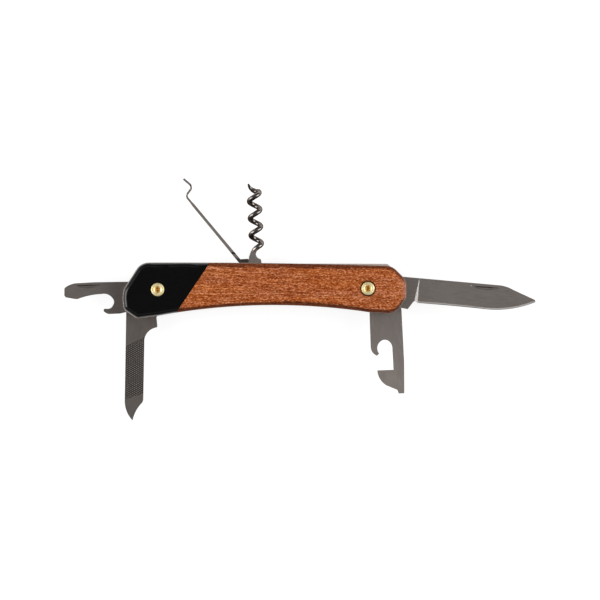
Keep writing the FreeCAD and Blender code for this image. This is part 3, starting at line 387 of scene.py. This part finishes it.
LOOKS = {
    "wood": wood(),
    "black_wood": black_wood(),
    "rivet_brass": brass(),
    # Painted light on the liners: brighter towards the left end, darker towards the right end.
    "liner_steel": steel(
        "liner_steel", tint(0.75), roughness=0.5, shade=("X", [(25, 0.6), (-25, 1.0)]),
    ),
    "spring_steel": steel("spring_steel", tint(0.7), roughness=0.6),
    "pin_steel": steel("pin_steel", tint(0.6), roughness=0.3),
    "blade_steel": steel(
        "blade_steel", tint(0.575), roughness=0.28, turn=turn_of("main_blade"), nick=True,
    ),
    # Painted shade on the can opener, darker towards the handle above it.
    "can_opener_steel": steel(
        "can_opener_steel", tint(0.7), roughness=0.32, turn=turn_of("can_opener"),
        shade=("Y", [(-10, 0.8), (-34, 1.0)]),
    ),
    # Painted shade on the bottle opener, darker towards X of -49 mm.
    "bottle_opener_steel": steel(
        "bottle_opener_steel", tint(0.43), roughness=0.32, turn=turn_of("bottle_opener"), nick=True,
        shade=("X", [(-49, 0.72), (-62, 1.0)]),
    ),
    "file_steel": steel("file_steel", tint(0.34), roughness=0.34, turn=turn_of("nail_file")),
    "worm_steel": worm_steel(),
    # Painted shade darkens the tang, and the groove across the strip.
    "hook_steel": steel(
        "hook_steel", tint(0.64), roughness=0.3, polish=0.4,
        shade=("Y", [
            (10.2, 0.3), (11.4, 1.0), (12.2, 1.0), (12.35, 0.15), (12.95, 0.15), (13.1, 1.0),
        ]),
    ),
}

for subpart in frame["record"]["subparts"]:
    mesh = nodes[subpart["node"]].data
    mesh.materials.clear()
    mesh.materials.append(LOOKS[subpart["material_slot"]])


# Worn edges of the steel and brass


def soften(node, width, segments=2, sharp=28):
    """Break a node's edges by a small round, where they turn by more than an angle in degrees."""
    weld = nodes[node].modifiers.new("weld", "WELD")
    weld.merge_threshold = 0.001 * MM
    bevel = nodes[node].modifiers.new("edge", "BEVEL")
    bevel.width = width
    bevel.segments = segments
    bevel.limit_method = "ANGLE"
    bevel.angle_limit = math.radians(sharp)
    bevel.harden_normals = True
    bevel.use_clamp_overlap = True


soften("main_blade", 0.1 * MM, sharp=60)
for name in ("can_opener", "bottle_opener", "nail_file", "strip_hook"):
    soften(name, 0.1 * MM, sharp=65)
for name in ("front_liner", "rear_liner", "blade_divider", "file_divider"):
    soften(name, 0.05 * MM)
for name in ("blade_spring", "opener_spring", "file_spring"):
    soften(name, 0.2 * MM)
for name in ("left_rivet", "right_rivet"):
    soften(name, 0.22 * MM, segments=4)


# Teeth of the nail file


def file_teeth():
    """Crosscut teeth on the sunk field of the file's front face."""
    pitch = 0.74 * MM
    lean = math.tan(math.radians(30))
    floor = 6.775 * MM
    valley = floor + 0.01 * MM
    crest = floor + 0.13 * MM
    foot = floor - 0.05 * MM
    # The field's four sides, in the file's own axes: along it from the pivot, and across it.
    field = [(19.95, -10.93), (38.6, -10.93), (36.45, -4.56), (16.75, -4.56)]
    field = [Vector((x * MM, y * MM, 0)) for x, y in field]
    rest_turn = math.radians(-91.2)
    # The teeth reach a little past the field on every side, and are cut back to it.
    rows = range(60)
    columns = range(20, 80)
    near, far = 15.5 * MM, 40 * MM
    low, high = -12.2 * MM, -3.4 * MM
    shape = bmesh.new()
    nodes_at = {}

    def node(row, column, height):
        key = (row, column)
        if key not in nodes_at:
            place = ((row + column) * pitch / 2, (row - column) * pitch / (2 * lean), height)
            nodes_at[key] = shape.verts.new(place)
        return nodes_at[key]

    for row in rows:
        for column in columns:
            middle_x = (row + column + 1) * pitch / 2
            middle_y = (row - column) * pitch / (2 * lean)
            if not near < middle_x < far or not low < middle_y < high:
                continue
            ring = [(row, column), (row, column + 1), (row + 1, column + 1), (row + 1, column)]
            ring = [node(*corner, valley) for corner in ring]
            top = node(row + 0.5, column + 0.5, crest)
            for first, second in zip(ring, ring[1:] + ring[:1]):
                shape.faces.new((top, second, first))
    for first, second in zip(field, field[1:] + field[:1]):
        outward = (second - first).cross(Vector((0, 0, 1)))
        everything = shape.verts[:] + shape.edges[:] + shape.faces[:]
        bmesh.ops.bisect_plane(
            shape, geom=everything, plane_co=first, plane_no=outward, clear_outer=True
        )
    rim = [edge for edge in shape.edges if edge.is_boundary]
    skirt = bmesh.ops.extrude_edge_only(shape, edges=rim)["geom"]
    for item in skirt:
        if isinstance(item, bmesh.types.BMVert):
            item.co.z = foot
    bmesh.ops.holes_fill(shape, edges=[edge for edge in shape.edges if edge.is_boundary], sides=0)
    bmesh.ops.recalc_face_normals(shape, faces=shape.faces[:])
    pivot = Vector(joints["nail_file"]["pos_m"])
    turn = Matrix.Rotation(rest_turn, 4, "Z")
    shape.transform(Matrix.Translation((pivot.x, pivot.y, 0)) @ turn)
    mesh = bpy.data.meshes.new("file_teeth")
    shape.to_mesh(mesh)
    shape.free()
    mesh.materials.append(teeth_steel(valley, crest))
    teeth = bpy.data.objects.new("file_teeth", mesh)
    bpy.context.scene.collection.objects.link(teeth)
    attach(teeth, "nail_file")


file_teeth()


# Studio


def floor():
    """A pale floor that shows white, with the soft shadow of the knife."""
    half = 4.0
    drop = 0.05 * MM
    lighting_tone = 0.4
    seen_tone = 0.3
    seen_glow = 0.82
    bpy.ops.mesh.primitive_plane_add(size=2 * half, location=(0, 0, -drop))
    plane = bpy.context.object
    plane.name = "floor"
    material = bpy.data.materials.new("floor")
    material.use_nodes = True
    tree = material.node_tree
    tree.nodes.clear()
    output = tree.nodes.new("ShaderNodeOutputMaterial")
    path = tree.nodes.new("ShaderNodeLightPath")
    seen = tree.nodes.new("ShaderNodeMath")
    seen.operation = "MAXIMUM"
    also = tree.nodes.new("ShaderNodeMath")
    also.operation = "MAXIMUM"
    plain = tree.nodes.new("ShaderNodeBsdfDiffuse")
    plain.inputs["Color"].default_value = (*grey(lighting_tone), 1)
    shaded = tree.nodes.new("ShaderNodeBsdfDiffuse")
    shaded.inputs["Color"].default_value = (*grey(seen_tone), 1)
    glow = tree.nodes.new("ShaderNodeEmission")
    glow.inputs["Strength"].default_value = seen_glow
    both = tree.nodes.new("ShaderNodeAddShader")
    choice = tree.nodes.new("ShaderNodeMixShader")
    links = tree.links
    links.new(path.outputs["Is Camera Ray"], seen.inputs[0])
    links.new(path.outputs["Is Glossy Ray"], seen.inputs[1])
    links.new(seen.outputs[0], also.inputs[0])
    links.new(path.outputs["Is Transmission Ray"], also.inputs[1])
    links.new(shaded.outputs[0], both.inputs[0])
    links.new(glow.outputs[0], both.inputs[1])
    links.new(also.outputs[0], choice.inputs[0])
    links.new(plain.outputs[0], choice.inputs[1])
    links.new(both.outputs[0], choice.inputs[2])
    links.new(choice.outputs[0], output.inputs["Surface"])
    plane.data.materials.append(material)


def world():
    """A studio with a bright ring overhead, dim round the camera and beyond the long edges."""
    # Levels over the height of a direction, and over how far it points beyond the long edges.
    overhead = [
        (0.0, 0.12), (0.4, 0.5), (0.7, 0.55), (0.8, 0.9), (0.88, 0.75), (0.95, 0.14), (1.0, 0.12),
    ]
    beyond = [(0.3, 1.0), (0.6, 0.4), (0.85, 0.25)]
    scene_world = bpy.data.worlds.new("studio")
    bpy.context.scene.world = scene_world
    scene_world.use_nodes = True
    tree = scene_world.node_tree
    background = tree.nodes["Background"]
    direction = tree.nodes.new("ShaderNodeTexCoord")
    split = tree.nodes.new("ShaderNodeSeparateXYZ")
    ramp = tree.nodes.new("ShaderNodeValToRGB")
    fall = tree.nodes.new("ShaderNodeValToRGB")
    aside = tree.nodes.new("ShaderNodeMath")
    aside.operation = "ABSOLUTE"
    both = tree.nodes.new("ShaderNodeMix")
    both.data_type = "RGBA"
    both.blend_type = "MULTIPLY"
    both.inputs["Factor"].default_value = 1.0
    fill(ramp, [(place, grey(level)) for place, level in overhead])
    fill(fall, [(place, grey(level)) for place, level in beyond])
    tree.links.new(direction.outputs["Generated"], split.inputs[0])
    tree.links.new(split.outputs["Z"], ramp.inputs["Fac"])
    tree.links.new(split.outputs["Y"], aside.inputs[0])
    tree.links.new(aside.outputs[0], fall.inputs["Fac"])
    tree.links.new(ramp.outputs["Color"], both.inputs["A"])
    tree.links.new(fall.outputs["Color"], both.inputs["B"])
    tree.links.new(both.outputs["Result"], background.inputs["Color"])
    background.inputs["Strength"].default_value = 1.0


def softbox(name, place, size, power):
    """A flat lamp that faces the frame's origin."""
    light = bpy.data.lights.new(name, "AREA")
    light.shape = "RECTANGLE"
    light.size, light.size_y = size
    light.energy = power
    lamp = bpy.data.objects.new(name, light)
    bpy.context.scene.collection.objects.link(lamp)
    lamp.location = place
    lamp.rotation_euler = (Vector((0, 0, 0)) - Vector(place)).to_track_quat("-Z", "Y").to_euler()


def camera():
    """A very long lens, straight above the front scale."""
    view = bpy.data.cameras.new("camera")
    view.sensor_width = 36.0
    view.lens = 800.0
    view.clip_end = 50.0
    # The picture is this wide at the height of the blade.
    width = 210 * MM
    blade_height = 12 * MM
    middle = (12.98 * MM, -3.9 * MM)
    roll = -0.00524
    height = width * view.lens / view.sensor_width + blade_height
    eye = bpy.data.objects.new("camera", view)
    bpy.context.scene.collection.objects.link(eye)
    eye.location = (*middle, height)
    eye.rotation_euler = (0, 0, roll)
    bpy.context.scene.camera = eye


floor()
world()
for side, x in (("left", -0.58), ("right", 0.58)):
    softbox(side + "_softbox", place=(x, 0.04, 0.36), size=(0.4, 0.5), power=3.25)
camera()
bpy.context.scene.view_settings.view_transform = "Standard"
